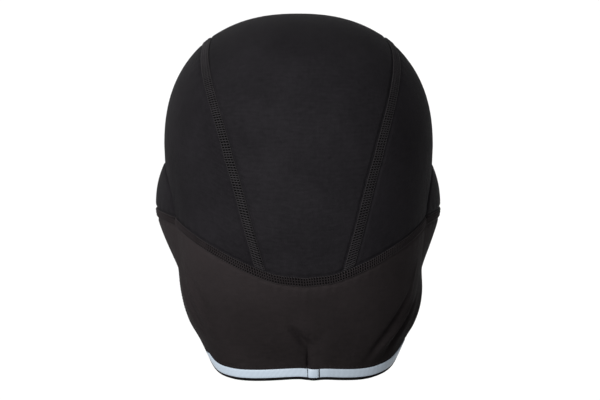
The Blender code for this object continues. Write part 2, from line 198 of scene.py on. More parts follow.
def hem_drop(turn):
    """The hem's run, a dip on the left and a small one at the tuck."""
    dip = HEM_LEFT_DIP * bell(np.degrees(turn) - HEM_LEFT_TURN, HEM_LEFT_SPREAD)
    dip = dip + HEM_TUCK_DIP * bell(np.degrees(turn) - HEM_TUCK_TURN, HEM_TUCK_SPREAD)
    return dip + level_drop(turn, HEM_RUN, HEM_DROPS)


ear_drops = [round(float(line(math.pi / 2)) * 1000) for line in (seam_drop, hem_drop)]
print("seam and hem drops at the ear, mm:", ear_drops)

# %% [markdown]
# ## Folds in the neck
#
# Stretch cloth has few folds, but this neck shows some: sharp ones slant down on the right, softer ones
# on the left, and a tuck is pinched into the hem at the centre back. They could be painted as a bump,
# but a bump has no outline and catches no real shade. So each fold is a low ridge or valley in the form
# itself: a bell across its line, which fades out at both ends. A fold's line runs from one turn in
# degrees to another, and from one share of the way down from the band's seam to the hem to another.

# %% The folds' lines
Fold = namedtuple("Fold", "turn_from down_from turn_to down_to width rise")
FOLDS = (
    Fold(76, 0.30, 34, 0.88, 0.0060, -0.0006),
    Fold(82, 0.56, 50, 0.96, 0.0060, 0.0018),
    Fold(-72, 0.28, -50, 0.82, 0.0070, 0.0012),
    Fold(52, 0.34, 28, 0.86, 0.0024, -0.0032),
    Fold(55, 0.50, 31, 0.86, 0.0018, 0.0018),
    Fold(59, 0.56, 36, 0.90, 0.0022, -0.0026),
    Fold(54, 0.26, 44, 0.56, 0.0022, 0.0014),
    Fold(-59, 0.30, -39, 0.72, 0.0022, 0.0014),
    Fold(-62, 0.42, -45, 0.76, 0.0028, -0.0014),
    Fold(-56, 0.22, -36, 0.60, 0.0030, -0.0008),
    Fold(3.5, 0.70, -7.0, 0.46, 0.0026, -0.0034),
    Fold(3.5, 0.68, 9.5, 0.47, 0.0040, -0.0006),
    Fold(-11, 0.13, 16, 0.13, 0.0060, 0.0007),
    Fold(-6, 0.80, -32, 0.84, 0.0060, -0.0008),
    Fold(12, 0.66, 22, 0.90, 0.0070, -0.0006),
)
PAST_END = 0.125
TUCK_TURN = math.radians(3.8)
TUCK_WIDTH = 0.006
TUCK_HEIGHT = 0.029
TUCK_DEPTH = 0.0029
TUCK_CREASE = 0.0009
TUCK_HOLLOW = 0.0020
TUCK_HOLLOW_WIDTH = 0.0075
TUCK_LIP = 0.0007
TUCK_HELD = 0.12
TUCK_STITCHED = 0.18
TUCK_OPENS = 0.12
CREASE_ROUND = 0.0003


def fold_rise(turn, drop, girth):
    """Each fold adds rise * bell(distance from its line) * sine squared of the way along it."""
    seam = seam_drop(turn)
    deep = hem_drop(turn) - seam
    down = (drop - seam) / deep
    rise = np.zeros_like(drop)
    for fold in FOLDS:
        line_x = math.radians(fold.turn_to - fold.turn_from) * girth
        line_y = (fold.down_to - fold.down_from) * deep
        x = (turn - math.radians(fold.turn_from)) * girth
        y = (down - fold.down_from) * deep
        length = np.hypot(line_x, line_y)
        past = ((x * line_x + y * line_y) / length**2 + PAST_END) / (1 + 2 * PAST_END)
        fade = np.sin(math.pi * np.clip(past, 0, 1)) ** 2
        rise = rise + fold.rise * fade * bell((x * line_y - y * line_x) / length, fold.width)
    return rise


def tuck_rise(turn, drop, girth):
    """A sharp valley in a soft hollow, beside a low lip.

    They fade out a tuck's height above the hem, and the hem's stitches hold the valley nearly shut below.
    """
    aside = (turn - TUCK_TURN) * girth + TUCK_WIDTH / 2
    up = np.clip((hem_drop(turn) - drop) / TUCK_HEIGHT, 0, 1)
    fade = (1 - up) ** 2 * (1 + 2 * up)
    free = TUCK_HELD + (1 - TUCK_HELD) * np.clip((up - TUCK_STITCHED) / TUCK_OPENS, 0, 1) ** 2
    valley = np.exp(-(np.hypot(aside, CREASE_ROUND) - CREASE_ROUND) / TUCK_CREASE)
    hollow = bell(aside, TUCK_HOLLOW_WIDTH) * np.sin(math.pi * up) ** 2
    lip = bell(aside - TUCK_WIDTH / 2, TUCK_WIDTH / 2)
    return fade * (TUCK_LIP * lip - TUCK_DEPTH * free * valley) - TUCK_HOLLOW * hollow


print(len(FOLDS), "folds and one tuck")

# %% [markdown]
# ## From flat cloth to the head
#
# Across and ahead are distances on the flat cloth. The distance from the top first runs down a dome and
# then straight down the wall. How far out the wall stands at each height comes from the level cuts, and
# the ear pushes a soft pouch out of it. A second function finds the outward direction, so that cloth,
# thread and tape can each be laid at their own height over the same form.

# %% Carry the flat cloth onto the head
def reach_of(drop):
    """Along the dome the reach is the arc of its angle, and below the brow it grows as the drop does."""
    rest = np.clip(1 - drop / BROW_DROP, 0, 1)
    on_dome = DOME_ARC * np.arccos(rest ** (DOME_POWER / 2)) / (math.pi / 2)
    return on_dome + np.clip(drop - BROW_DROP, 0, None)


def flat(turn, reach):
    """across = reach * sin turn, ahead = -reach * cos turn."""
    return reach * np.sin(turn), -reach * np.cos(turn)


def ear_height(turn, drop):
    """1 over the middle of the ear, and 0 on the arch that bounds its panel."""
    middle = (np.degrees(np.abs(turn)) - EAR_TURN) / EAR_SPREAD
    above = np.clip((seam_drop(turn) - drop) / EAR_HEIGHT, 0, None)
    return 1 - middle**2 - above**2


def ear_bulge(turn, drop):
    """The ear's reach times its height, falling away under the seam."""
    below = np.clip((drop - seam_drop(turn)) / EAR_FALL, 0, 1)
    return EAR_REACH * np.clip(ear_height(turn, drop), 0, 1) * (1 - below**EAR_FALL_POWER)


def polar(across, ahead):
    """The turn, drop and girth of points of the flat cloth, before folds.

    A level cut is a superellipse: girth = ((sine / side)^n + (cosine / depth)^n)^(-1 / n).
    """
    reach = np.hypot(across, ahead)
    turn = np.arctan2(across, -ahead)
    swing = np.clip(reach / DOME_ARC, 0, 1) * math.pi / 2
    dome = BROW_DROP * (1 - np.clip(np.cos(swing), 0, 1) ** (2 / DOME_POWER))
    drop = dome + np.clip(reach - DOME_ARC, 0, None)
    fall = np.clip(drop - BROW_DROP, 0, None) / (HEM_DROPS[0] - BROW_DROP)
    side, back, front, square = (eased(fall, CUTS[0], column) for column in CUTS[1:])
    depth = np.where(np.cos(turn) > 0, BACK_REACH * back, FRONT_REACH * front)
    oval = np.abs(np.sin(turn) / (CROWN_BREADTH / 2 * side)) ** square
    oval = oval + np.abs(np.cos(turn) / depth) ** square
    return turn, drop, fall, np.sin(swing) ** (2 / DOME_POWER) * oval ** (-1 / square)


def wrap(across, ahead):
    """x = girth * sine + ear + sway, y = -girth * cosine, z = cloth - drop."""
    across, ahead = np.broadcast_arrays(np.asarray(across, float), np.asarray(ahead, float))
    turn, drop, fall, girth = polar(across, ahead)
    girth = girth + fold_rise(turn, drop, girth) + tuck_rise(turn, drop, girth)
    sine = np.sin(turn)
    x = girth * sine + np.sign(sine) * ear_bulge(turn, drop) + NECK_SWAY * fall**2
    return np.stack([x, -girth * np.cos(turn), CLOTH - drop], axis=-1)


def unit(vectors):
    """Each vector over its own length."""
    return vectors / np.linalg.norm(vectors, axis=-1, keepdims=True)


def slopes(across, ahead, step=0.0004):
    """The change of the surface per metre across and per metre ahead, from points a step to each side."""
    by_across = wrap(across + step, ahead) - wrap(across - step, ahead)
    by_ahead = wrap(across, ahead + step) - wrap(across, ahead - step)
    return by_across / (2 * step), by_ahead / (2 * step)


def outward_at(across, ahead):
    """The cross product of the two slopes."""
    return unit(np.cross(*slopes(across, ahead)))


back_of_hem = wrap(*flat(0.0, reach_of(HEM_DROPS[0])))
print("top of the cap:", wrap(1e-4, 0.0).round(4), "back of the hem:", back_of_hem.round(3))

# %% [markdown]
# ## Lines between the panels
#
# Two crown seams run from the back of the band to its front and leave a wide panel between them. Each
# panel's ends stop where they meet the band's seam. That meeting is found by trying a turn, reading the
# seam's drop there and correcting the turn, a few times over.

# %% The panels' edges
def panel_half_width(along):
    """Half the panel's width times the edge table's share."""
    return PANEL_WIDTH / 2 * eased(along, *PANEL_EDGE)


def seam_meeting(across, forward):
    """The turn is the arc sine of across over the seam's reach at that turn, worked out 20 times."""
    turn = np.full_like(across, math.pi if forward else 0.0)
    for _ in range(20):
        swing = np.arcsin(np.abs(across) / reach_of(seam_drop(turn)))
        turn = math.pi - swing if forward else swing
    return np.where(across < 0, -turn, turn)


def across_step(across, ahead, distance):
    """The step across that leaves this true distance beside a line that runs ahead."""
    by_across, by_ahead = slopes(across, ahead)
    e, f, g = ((p * q).sum(-1) for p, q in ((by_across,) * 2, (by_across, by_ahead), (by_ahead,) * 2))
    return distance * np.sqrt(g / (e * g - f * f))


def panel_line(share, along, inset, aside):
    """Ahead runs straight from the seam behind the panel to the seam before it, an inset short of both."""
    back_half, front_half = panel_half_width(np.array([0.0, 1.0]))

    def ahead_of(step):
        ends = []
        for half, forward in ((back_half, False), (front_half, True)):
            turn = seam_meeting(share * half + step, forward)
            ends.append(flat(turn, reach_of(seam_drop(turn)) - inset)[1])
        return ends[0] + along * (ends[1] - ends[0])

    across = share * panel_half_width(along)
    step = np.sign(share) * across_step(across, ahead_of(0.0), aside)
    return across + step, ahead_of(step)


def ear_arch(swing):
    """turn = middle - spread * cosine, drop = seam - height * sine."""
    turn = math.radians(EAR_TURN) - math.radians(EAR_SPREAD) * np.cos(swing)
    return turn, seam_drop(turn) - EAR_HEIGHT * np.sin(swing)


half_back, half_front = panel_half_width(np.array([0.0, 1.0]))
CORNERS = tuple(float(seam_meeting(np.array([half]), forward)[0])
                for half, forward in ((half_back, False), (half_front, True)))
print("the crown seams meet the band's seam at", [round(math.degrees(turn)) for turn in CORNERS], "degrees")

# %% [markdown]
# ## How stitches pull on cloth
#
# Thread pulls a knit down beside a seam and puckers it, which shows as a thin dark line and a faint
# ripple. It is too small for the solid model. Here it is a relief of about half a
# millimetre that is added along the outward direction, with a deeper crease round the ear panels, and
# everything that lies on the cloth gets the same relief.

# %% The relief beside the seams
CROWN_SEAM_HALF = 0.0031
BAND_SEAM_HALF = 0.0027
PINCH_DEPTH = 0.0006
PINCH_WIDTH = 0.0010
PUCKER_RISE = 0.00012
PUCKER_LENGTH = 0.0062
PUCKER_REACH = 0.0060
PUCKER_START = 0.001
PUCKER_DRIFT = 2.1
DRIFT_PER_METRE = 70
PINCH_AWAY = 0.0004
SEAM_FADE = 0.004
EAR_CREASE = 0.0017
EAR_CREASE_WIDTH = 0.05


def beside(distance, along, half):
    """A valley at the seam's edge, and ripples that fade with the distance from it."""
    away = np.clip(np.abs(distance) - half, 0, None)
    ripple = np.sin(2 * math.pi * along / PUCKER_LENGTH + PUCKER_DRIFT * np.sin(DRIFT_PER_METRE * along))
    pucker = PUCKER_RISE * ripple * bell(away, PUCKER_REACH) * np.clip(away / PUCKER_START, 0, 1)
    return pucker - PINCH_DEPTH * bell(away - PINCH_AWAY, PINCH_WIDTH)


def seam_distances(across, ahead):
    """The true distances outside the crown seam and below the band's seam, and the polar place."""
    turn, drop, _, girth = polar(across, ahead)
    reach = np.maximum(np.hypot(across, ahead), 1e-4)
    ends = [flat(corner, reach_of(seam_drop(corner)))[1] for corner in CORNERS]
    along = np.clip((ahead - ends[0]) / (ends[1] - ends[0]), 0, 1)
    scale = np.hypot(np.sin(turn), np.cos(turn) * girth / reach)
    from_crown = (np.abs(across) - panel_half_width(along)) * scale
    return from_crown, reach - reach_of(seam_drop(turn)), turn, drop, girth


def relief(across, ahead):
    """The crown seams' pull above the band, the band seam's pull, and the crease round the ear panel."""
    from_crown, from_band, turn, drop, girth = seam_distances(across, ahead)
    above = np.clip(-from_band / SEAM_FADE, 0, 1)
    crease = bell(ear_height(turn, drop), EAR_CREASE_WIDTH) * above
    pull = above * beside(from_crown, ahead, CROWN_SEAM_HALF)
    return pull + beside(from_band, turn * girth, BAND_SEAM_HALF) - EAR_CREASE * crease


def laid(across, ahead, lift):
    """The surface plus (lift + relief) times the outward direction."""
    outward = outward_at(across, ahead)
    height = np.asarray(lift) + relief(across, ahead)
    return wrap(across, ahead) + height[..., None] * outward, outward


print(f"the pull beside a seam is {PINCH_DEPTH * 1000:.1f} mm deep")

# %% [markdown]
# ## Meshes from whole grids
#
# A piece of cloth has an outer face, an inner face and an edge between them. The grid below has two
# layers, and quads join them at the rim, so every piece is one closed shell. A ring, such as the neck
# band, joins its last column to its first. The map in metres that is stored with each corner lets a
# knit pattern follow the cloth at its true scale.

# %% Put arrays into a mesh
def outward_quads(points, quads):
    """The volume inside is a sixth of the sum of the triangles' determinants, and it has to be positive."""
    a, b, c, d = (points[quads[:, corner]] for corner in range(4))
    volume = np.einsum("ij,ij->", a, np.cross(b, c)) + np.einsum("ij,ij->", a, np.cross(c, d))
    return volume > 0


def add_mesh(name, points, quads, materials, uv=None, which=None):
    """Vertices, quads, the map and the material numbers go in as whole arrays."""
    points = np.asarray(points, np.float32)
    if not outward_quads(points.astype(float), quads):
        quads = quads[:, ::-1]
        uv = None if uv is None else uv[:, ::-1]
    mesh = bpy.data.meshes.new(name)
    mesh.vertices.add(len(points))
    mesh.vertices.foreach_set("co", points.ravel())
    mesh.loops.add(quads.size)
    mesh.loops.foreach_set("vertex_index", quads.astype(np.int32).ravel())
    mesh.polygons.add(len(quads))
    mesh.polygons.foreach_set("loop_start", np.arange(0, quads.size, 4, dtype=np.int32))
    for material in materials:
        mesh.materials.append(material)
    if which is not None:
        mesh.polygons.foreach_set("material_index", which.astype(np.int32))
    if uv is not None:
        mesh.uv_layers.new(name="Cloth").data.foreach_set("uv", uv.astype(np.float32).ravel())
    mesh.update(calc_edges=True)
    mesh.shade_smooth()
    mesh.set_sharp_from_angle(angle=math.radians(60))
    return add_object(name, mesh)


def grid_quads(rows, columns):
    """Each quad's corners as (row, column) numbers, in an array of quads x 4 x 2."""
    corner = np.stack(np.mgrid[0:rows, 0:columns], axis=-1).reshape(-1, 1, 2)
    return corner + np.array([[0, 0], [0, 1], [1, 1], [1, 0]])


def lengths(points, axis):
    """The running sum of the distances from point to point."""
    steps = np.linalg.norm(np.diff(points, axis=axis), axis=-1)
    start = np.zeros_like(np.take(steps, [0], axis=axis))
    return np.concatenate([start, np.cumsum(steps, axis=axis)], axis=axis)


def shell(name, columns, rows, shape, top, bottom, materials, ring=False):
    """shape(u, v) lays the grid on the flat cloth, and top and bottom give the two layers' lifts.

    The rows of the outer layer are followed by those of the inner layer in reverse, and then by the
    first row again, so one grid closes over both long rims. Two strips of quads close the ends.
    """
    v, u = np.meshgrid(np.linspace(0, 1, rows + 1), np.linspace(0, 1, columns + 1), indexing="ij")
    outer, outward = laid(*shape(u, v), top(u, v))
    inner = outer - (top(u, v) - bottom(u, v))[..., None] * outward
    uv = np.stack([lengths(outer, 1), lengths(outer, 0)], axis=-1)
    uv[..., 0] -= uv[:, [columns // 2], 0]
    uv = np.concatenate([uv, uv[::-1]])
    total = 2 * (rows + 1)
    width = columns if ring else columns + 1
    corners = grid_quads(total, columns)
    which = (corners[:, 0, 0] > rows) & (corners[:, 0, 0] < total - 1)
    if not ring:
        near = np.arange(rows)
        edge = np.stack([near, near + 1, total - 2 - near, total - 1 - near], axis=-1)
        left = np.stack([edge, np.zeros_like(edge)], axis=-1)
        right = np.stack([edge[:, ::-1], np.full_like(edge, columns)], axis=-1)
        corners = np.concatenate([corners, left, right])
        which = np.concatenate([which, np.zeros(2 * rows, bool)])
    row, column = corners[..., 0] % total, corners[..., 1]
    points = np.concatenate([outer, inner[::-1]])[:, :width].reshape(-1, 3)
    return add_mesh(name, points, row * width + column % width, materials, uv[row, column], which), outer


def even(value):
    """A lift that is the same all over a piece."""
    return lambda u, v: np.full_like(u, value)


def to_ends(t):
    """Half the spacing is even, and half is drawn towards both ends, where the seams are."""
    return 0.4 * t + 0.6 * (0.5 - 0.5 * np.cos(math.pi * t))


print("the two layers of a shell share their rim, so nothing shows through at an edge")

# %% [markdown]
# ## Thread
#
# Hundreds of short stitches lie on these seams. Each is a bent rod with six sides and narrow ends. All
# rods of a seam are worked out at once, as one array of rings, and go into one mesh, so a seam is a
# single piece.

# %% Many short threads in one mesh
SIDES = 6


def thread_mesh(name, paths, outward, radius, material):
    """ring point = path + radius * taper * (cosine * outward + sine * sideways)."""
    count, steps, _ = paths.shape
    sideways = unit(np.cross(np.gradient(paths, axis=1), outward))
    angle = np.arange(SIDES) * 2 * math.pi / SIDES
    taper = 1 - 0.6 * np.abs(np.linspace(-1, 1, steps)) ** 6
    rings = np.cos(angle)[:, None] * outward[:, :, None] + np.sin(angle)[:, None] * sideways[:, :, None]
    points = paths[:, :, None] + radius * taper[:, None, None] * rings
    corner = grid_quads(steps - 1, SIDES)
    wall = corner[..., 0] * SIDES + corner[..., 1] % SIDES
    cap = np.array([[0, 1, 2, 3], [0, 3, 4, 5]])
    one = np.concatenate([wall, cap[:, ::-1], cap + (steps - 1) * SIDES])
    quads = np.arange(count)[:, None, None] * steps * SIDES + one
    return add_mesh(name, points.reshape(-1, 3), quads.reshape(-1, 4), [material])


def spots(line, pitch):
    """Positions from 0 to 1 that lie a pitch apart along a line, and the line's length."""
    t = np.linspace(0, 1, 801)
    walked = lengths(line(t), 0)
    count = int(round(walked[-1] / pitch))
    return np.interp((np.arange(count) + 0.5) * walked[-1] / count, walked, t), walked[-1]


print("a rod of 9 rings has", 8 * SIDES + 4, "faces")

# %% [markdown]
# ## Shader sums in plain Python
#
# A material's pattern is a sum of waves and noises. Written as nodes it is hard to read, so one small
# class wraps a socket and lets it be added, multiplied and so on, as numbers are. Every other node comes
# from its one method.

# %% Sockets that can be added up
class Signal:
    """A socket of a material. Arithmetic on it adds Math nodes, and node() adds any other node."""

    def __init__(self, socket):
        self.socket = socket
        self.tree = socket.id_data

    def node(self, kind, sockets, out=0, **settings):
        """A new node: first its settings, then the values or links of its sockets, and one of its outputs."""
        made = self.tree.nodes.new(kind)
        for name, value in settings.items():
            setattr(made, name, value)
        for name, value in sockets.items():
            if isinstance(value, Signal):
                self.tree.links.new(value.socket, made.inputs[name])
            else:
                made.inputs[name].default_value = value
        return Signal(made.outputs[out])

    def maths(self, operation, first, second=0.0):
        return self.node("ShaderNodeMath", {0: first, 1: second}, operation=operation)

    def __add__(self, other):
        return self.maths("ADD", self, other)

    __radd__ = __add__

    def __sub__(self, other):
        return self.maths("SUBTRACT", self, other)

    def __rsub__(self, other):
        return self.maths("SUBTRACT", other, self)

    def __mul__(self, other):
        return self.maths("MULTIPLY", self, other)

    __rmul__ = __mul__


def wave(value):
    """The sine of a signal."""
    return value.maths("SINE", value)


def noise(start, where, scale, detail):
    """A noise round 0.5, read at the place times the scale."""
    return start.node("ShaderNodeTexNoise", {"Vector": where, "Scale": scale, "Detail": detail}, out="Fac")


def axis_of(vector, axis):
    """The X, Y or Z of a vector."""
    return vector.node("ShaderNodeSeparateXYZ", {"Vector": vector}, out=axis)


def between(start, mask, low, high):
    """A colour that runs from low to high as the mask does."""
    return start.node("ShaderNodeMix", {0: mask, 6: (*low, 1.0), 7: (*high, 1.0)}, out=2, data_type="RGBA")


def new_finish(name, **constants):
    """A material with constants on its shader's sockets, a signal to start from and the object's place."""
    material = bpy.data.materials.new(name)
    material.use_nodes = True
    shader = material.node_tree.nodes["Principled BSDF"]
    for socket, value in constants.items():
        shader.inputs[socket.replace("_", " ")].default_value = value
    start = Signal(shader.outputs[0])
    return material, shader, start, start.node("ShaderNodeTexCoord", {}, out="Object")


def plug(start, shader, colour, roughness, height):
    """Links what varies. The height is in metres."""
    bump = start.node("ShaderNodeBump", {"Strength": 1.0, "Distance": 1.0, "Height": height}, out="Normal")
    for signal, name in ((colour, "Base Color"), (roughness, "Roughness"), (bump, "Normal")):
        start.tree.links.new(signal.socket, shader.inputs[name])


print("operators:", ", ".join(name.strip("_") for name in vars(Signal) if name.startswith("__r")))

# %% [markdown]
# ## Black knit
#
# The cloth is a fine warp knit: rows of tiny loops, about 0.7 mm wide, that stand in columns. From arm's
# length they blur into a dull black with a slight sheen. The loops are a bump made of two waves on the
# cloth's own map, so they follow each panel. Noise shifts the loops a little, moves the colour and the
# roughness, and gives the surface the soft unevenness of worn stretch cloth. A flattened noise adds the faint
# level streaks of rows that were knitted a little tighter. The neck is cut from a slightly warmer black than
# the crown, and painted shade makes its colour darker downwards and to the right.

# %% The knit's outer face
LOOP_WIDTH = 0.00070
LOOP_HEIGHT = 0.00055
LOOP_RISE = 0.00006
STREAKS_ALONG = 130.0
STREAKS_UP = 800.0
SHADE_FALL_LEVEL = 0.172


def knit(name, dark, light, roughness=0.62, uneven=1.0, fall=0.0):
    """Height = columns + rows that the columns shift + soft noise. Tone = noises, rows and the fall, a
    painted shade that darkens downwards and to the right.
    """
    material, shader, start, place = new_finish(name, Specular_IOR_Level=0.008)
    cloth = start.node("ShaderNodeUVMap", {}, out="UV", uv_map="Cloth")
    along, up = axis_of(cloth, "X"), axis_of(cloth, "Y")
    grain = noise(start, place, 420.0, 3.0)
    level = start.node("ShaderNodeCombineXYZ", {"X": along * STREAKS_ALONG, "Y": up * STREAKS_UP})
    streak = noise(start, level, 1.0, 2.0)
    cloud = noise(start, place, 34.0, 2.0)
    columns = wave(along * (2 * math.pi / LOOP_WIDTH) + grain * 3.0)
    rows = wave(up * (2 * math.pi / LOOP_HEIGHT) + columns * 0.9 + grain * 4.0)
    height = (columns * 0.3 + rows * 0.7) * LOOP_RISE + grain * 0.00022 + cloud * 0.0008
    mask = ((cloud - 0.5) * 1.3 + (grain - 0.5) * 0.9 + rows * 0.10 + (streak - 0.5) * 1.1) * uneven + 0.5
    # The fall is painted shade: the colour darkens below the level and to the right of the middle.
    if fall:
        right, high = axis_of(place, "X"), axis_of(place, "Z")
        mask = mask + (high + SHADE_FALL_LEVEL) * fall - right.maths("MAXIMUM", right, 0.0) * 0.5 * fall
    plug(start, shader, between(start, mask, dark, light), roughness + (grain - 0.5) * 0.16, height)
    return material


crown_knit = knit("crown knit", (0.0037, 0.0034, 0.0039), (0.0062, 0.0057, 0.0065))
side_knit = knit("side knit", (0.0034, 0.0031, 0.0036), (0.0057, 0.0052, 0.0060))
# The neck's last number, 11.0, is the strength of its painted shade downwards and to the right.
neck_knit = knit("neck knit", (0.0037, 0.0031, 0.0032), (0.0094, 0.0078, 0.0081), 0.66, 0.40, 11.0)
print("loops per metre:", round(1 / LOOP_WIDTH), "by", round(1 / LOOP_HEIGHT))

# %% [markdown]
# ## Brushed inside, thread and hem
#
# The inside of such a liner is brushed, so that it feels soft. Its fibres lie in short random tufts, which
# two noises give. Thread is smoother than the cloth and catches more light, and the needle thread's colour is
# painted lighter still, as a painted sheen. The hem's edge and the strips under the stitches are the same
# knit, painted a deeper black as shade, where the edge turns away from the light and the strips lie sunk
# between the threads.

# %% The other dark finishes
def brushed(name):
    """Colour and height = a fine noise of tufts + a coarser one."""
    material, shader, start, place = new_finish(
        name, Specular_IOR_Level=0.005, Sheen_Weight=0.01, Sheen_Roughness=0.6)
    tuft, cloud = noise(start, place, 1900.0, 4.0), noise(start, place, 260.0, 3.0)
    mask = tuft * 0.8 + cloud * 0.5 - 0.15
    colour = between(start, mask, (0.0070, 0.0066, 0.0071), (0.0150, 0.0142, 0.0152))
    plug(start, shader, colour, 0.82 + (cloud - 0.5) * 0.2, tuft * 0.00035 + cloud * 0.0005)
    return material


def thread(name, dark, light):
    """A fine grain, for the twist of the plies, and a slow change of tone."""
    material, shader, start, place = new_finish(name, Specular_IOR_Level=0.02)
    ply, slow = noise(start, place, 5200.0, 1.0), noise(start, place, 90.0, 2.0)
    plug(start, shader, between(start, ply * 0.6 + slow * 0.7 - 0.15, dark, light),
         0.42 + (slow - 0.5) * 0.2, ply * 0.00006)
    return material


fleece = brushed("brushed inside")
crown_thread = thread("crown thread", (0.0056, 0.0051, 0.0056), (0.0108, 0.0099, 0.0108))
band_thread = thread("band thread", (0.0055, 0.0045, 0.0048), (0.0091, 0.0075, 0.0080))
# The needle thread's lighter colour is a painted sheen.
needle_thread_painted_sheen = thread("needle thread", (0.0085, 0.0077, 0.0081), (0.0160, 0.0147, 0.0153))
hem_thread = thread("hem thread", (0.0060, 0.0052, 0.0054), (0.0090, 0.0080, 0.0083))
# The seam beds are painted a deeper black, as painted shade between the threads.
seam_bed_painted_shade = knit("seam edge", (0.0006, 0.0006, 0.0006), (0.0011, 0.0010, 0.0011), 0.70)
# The hem's edge is painted a deeper black, as painted shade where the edge turns away from the light.
hem_painted_shade_knit = knit("hem knit", (0.0014, 0.0013, 0.0013), (0.0024, 0.0022, 0.0022), 0.70)
print("finishes so far:", [finish.name for finish in bpy.data.materials])

# %% [markdown]
# ## Reflective tape
#
# The tape is a film full of glass beads on a grey backing. In plain light it looks like a pale, slightly blue
# cloth ribbon with a satin face. The beads are far finer than a pixel, so a very fine noise roughens it, and
# faint cross lines show where the film has bent round the hem. It throws light back to where the light comes
# from, so its colour is painted darker on the right of the middle, as painted shade.

# %% The tape's finish
BEND_LENGTH = 0.0031
FILM_PAINTED_SHADE = 24.0
FILM_PAINTED_SHADE_MOST = 0.44


def silver_film(name):
    """Colour = slow noise + bead grain + bends, with painted shade that darkens it the further right the film
    lies.
    """
    material, shader, start, place = new_finish(name, Specular_IOR_Level=0.10)
    cloth = start.node("ShaderNodeUVMap", {}, out="UV", uv_map="Cloth")
    along, right = axis_of(cloth, "X"), axis_of(place, "X")
    bead, slow = noise(start, place, 7000.0, 1.0), noise(start, place, 110.0, 3.0)
    bend = wave(along * (2 * math.pi / BEND_LENGTH) + slow * 9.0)
    # Painted shade: the colour darkens to the right of the middle, up to a limit.
    past_middle = right.maths("MAXIMUM", right, 0.0)
    painted_shade = right.maths("MINIMUM", past_middle * FILM_PAINTED_SHADE, FILM_PAINTED_SHADE_MOST)
    mask = bead * 0.15 + slow * 0.25 + bend * 0.03 + 0.66 - painted_shade
    plug(start, shader, between(start, mask, (0.088, 0.102, 0.118), (0.160, 0.185, 0.213)),
         0.36 + (slow - 0.5) * 0.25, bead * 0.00003 + bend * 0.00002)
    return material


tape_film = silver_film("reflective film")
print("tape finish:", tape_film.name)

# %% [markdown]
# ## The crown's centre panel
#
# One wide panel runs from the back of the head over the top to the brow. Its grid has more columns near
# its two seams, where the stitches pull it down, and the panel's edge is where the solid model has it.

# %% Sew the centre panel
GAP = 0.00015
pieces = {}
cut_sizes = {}


def attach(piece):
    """The piece rides on the cap."""
    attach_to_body(piece, "root")
    return piece


def keep(name, made, node):
    """The piece also stands for its solid, and its worn size is kept and printed."""
    piece, outer = made
    attach(piece)
    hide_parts(node)
    pieces[name] = piece
    a, b = outer[1:, 1:] - outer[:-1, :-1], outer[1:, :-1] - outer[:-1, 1:]
    area = float(np.linalg.norm(np.cross(a, b), axis=-1).sum() / 2)
    wide, long = lengths(outer, 1)[:, -1].max(), lengths(outer, 0)[-1].max()
    cut_sizes[name] = (float(wide), float(long), area)
    worn = f"{wide * 1000:.0f} x {long * 1000:.0f} mm worn, {area * 1e4:.0f} cm2"
    print(f"{name}: {worn}, {len(piece.data.polygons)} faces")


def centre_shape(u, v):
    """The panel's line at every share of its half width, from -1 to 1."""
    share = 2 * to_ends(u) - 1
    return panel_line(share, to_ends(v), GAP, -np.abs(share) * GAP)


centre = shell("centre_cloth", 110, 210, centre_shape, even(0.0), even(-CLOTH), [crown_knit, fleece])
keep("centre_cloth", centre, "centre_panel")

# %% [markdown]
# ## Sides and ears
#
# Each side panel fills the space between a crown seam and the band. Its lower edge is arched over the
# ear, and a small panel with a pouch in it fills the arch. The crease behind the ear, where one cloth
# runs under the other, is the relief that was set up above. On the inside a soft strip covers the seam.

# %% Sew the sides and the ear panels
PARTS_OF_EDGE = np.array([0.0, 9.0, 21.0, 26.0]) / 26.0
EAR_CORNER = 0.12
STRIP_SPREAD = 0.038
STRIP_HALF = 0.0025
STRIP_CLEAR = 0.0004
STRIP_THICKNESS = 0.0006


def side_lower_edge(part):
    """Straight along the band's seam, round the ear's arch, and along the seam again."""
    ear_from, ear_to = ear_arch(np.array([0.0, math.pi]))[0]
    turn = np.interp(part, PARTS_OF_EDGE, (CORNERS[0], ear_from, ear_to, CORNERS[1]))
    swing = math.pi * (part - PARTS_OF_EDGE[1]) / (PARTS_OF_EDGE[2] - PARTS_OF_EDGE[1])
    arch_turn, arch_drop = ear_arch(np.clip(swing, 0, math.pi))
    over_ear = (swing > 0) & (swing < math.pi)
    turn = np.where(over_ear, arch_turn, turn)
    along_seam = seam_drop(turn) - GAP
    return flat(turn, reach_of(np.where(over_ear, np.minimum(arch_drop - GAP, along_seam), along_seam)))


def side_shape(u, v):
    """Point = lower edge + rise * (crown seam - lower edge)."""
    low, top = side_lower_edge(u), panel_line(np.ones_like(u), u, GAP, GAP)
    return tuple(start + to_ends(v) * (end - start) for start, end in zip(low, top))


def ear_shape(u, v):
    """drop = band's seam + rise * (arch - band's seam), at the arch's turn."""
    turn, arch = ear_arch(EAR_CORNER + u * (math.pi - 2 * EAR_CORNER))
    low = seam_drop(turn) - GAP
    return flat(turn, reach_of(low + to_ends(v) * (arch - low)))


def ear_seam_shape(u, v):
    """A strip 5 mm wide along the arch, between an arch that is a little smaller and one a little larger."""
    swing, wider = math.pi * u, 2 * v - 1
    turn = math.radians(EAR_TURN) - (math.radians(EAR_SPREAD) + STRIP_SPREAD * wider) * np.cos(swing)
    rise = np.maximum((EAR_HEIGHT + STRIP_HALF * wider) * np.sin(swing), 0) + STRIP_CLEAR
    return flat(turn, reach_of(seam_drop(turn) - rise))


def on_side(shape, side):
    """The same shape on the right, where side is 1, or on the left, where it is -1."""
    def mirrored(u, v):
        across, ahead = shape(u, v)
        return side * across, ahead
    return mirrored


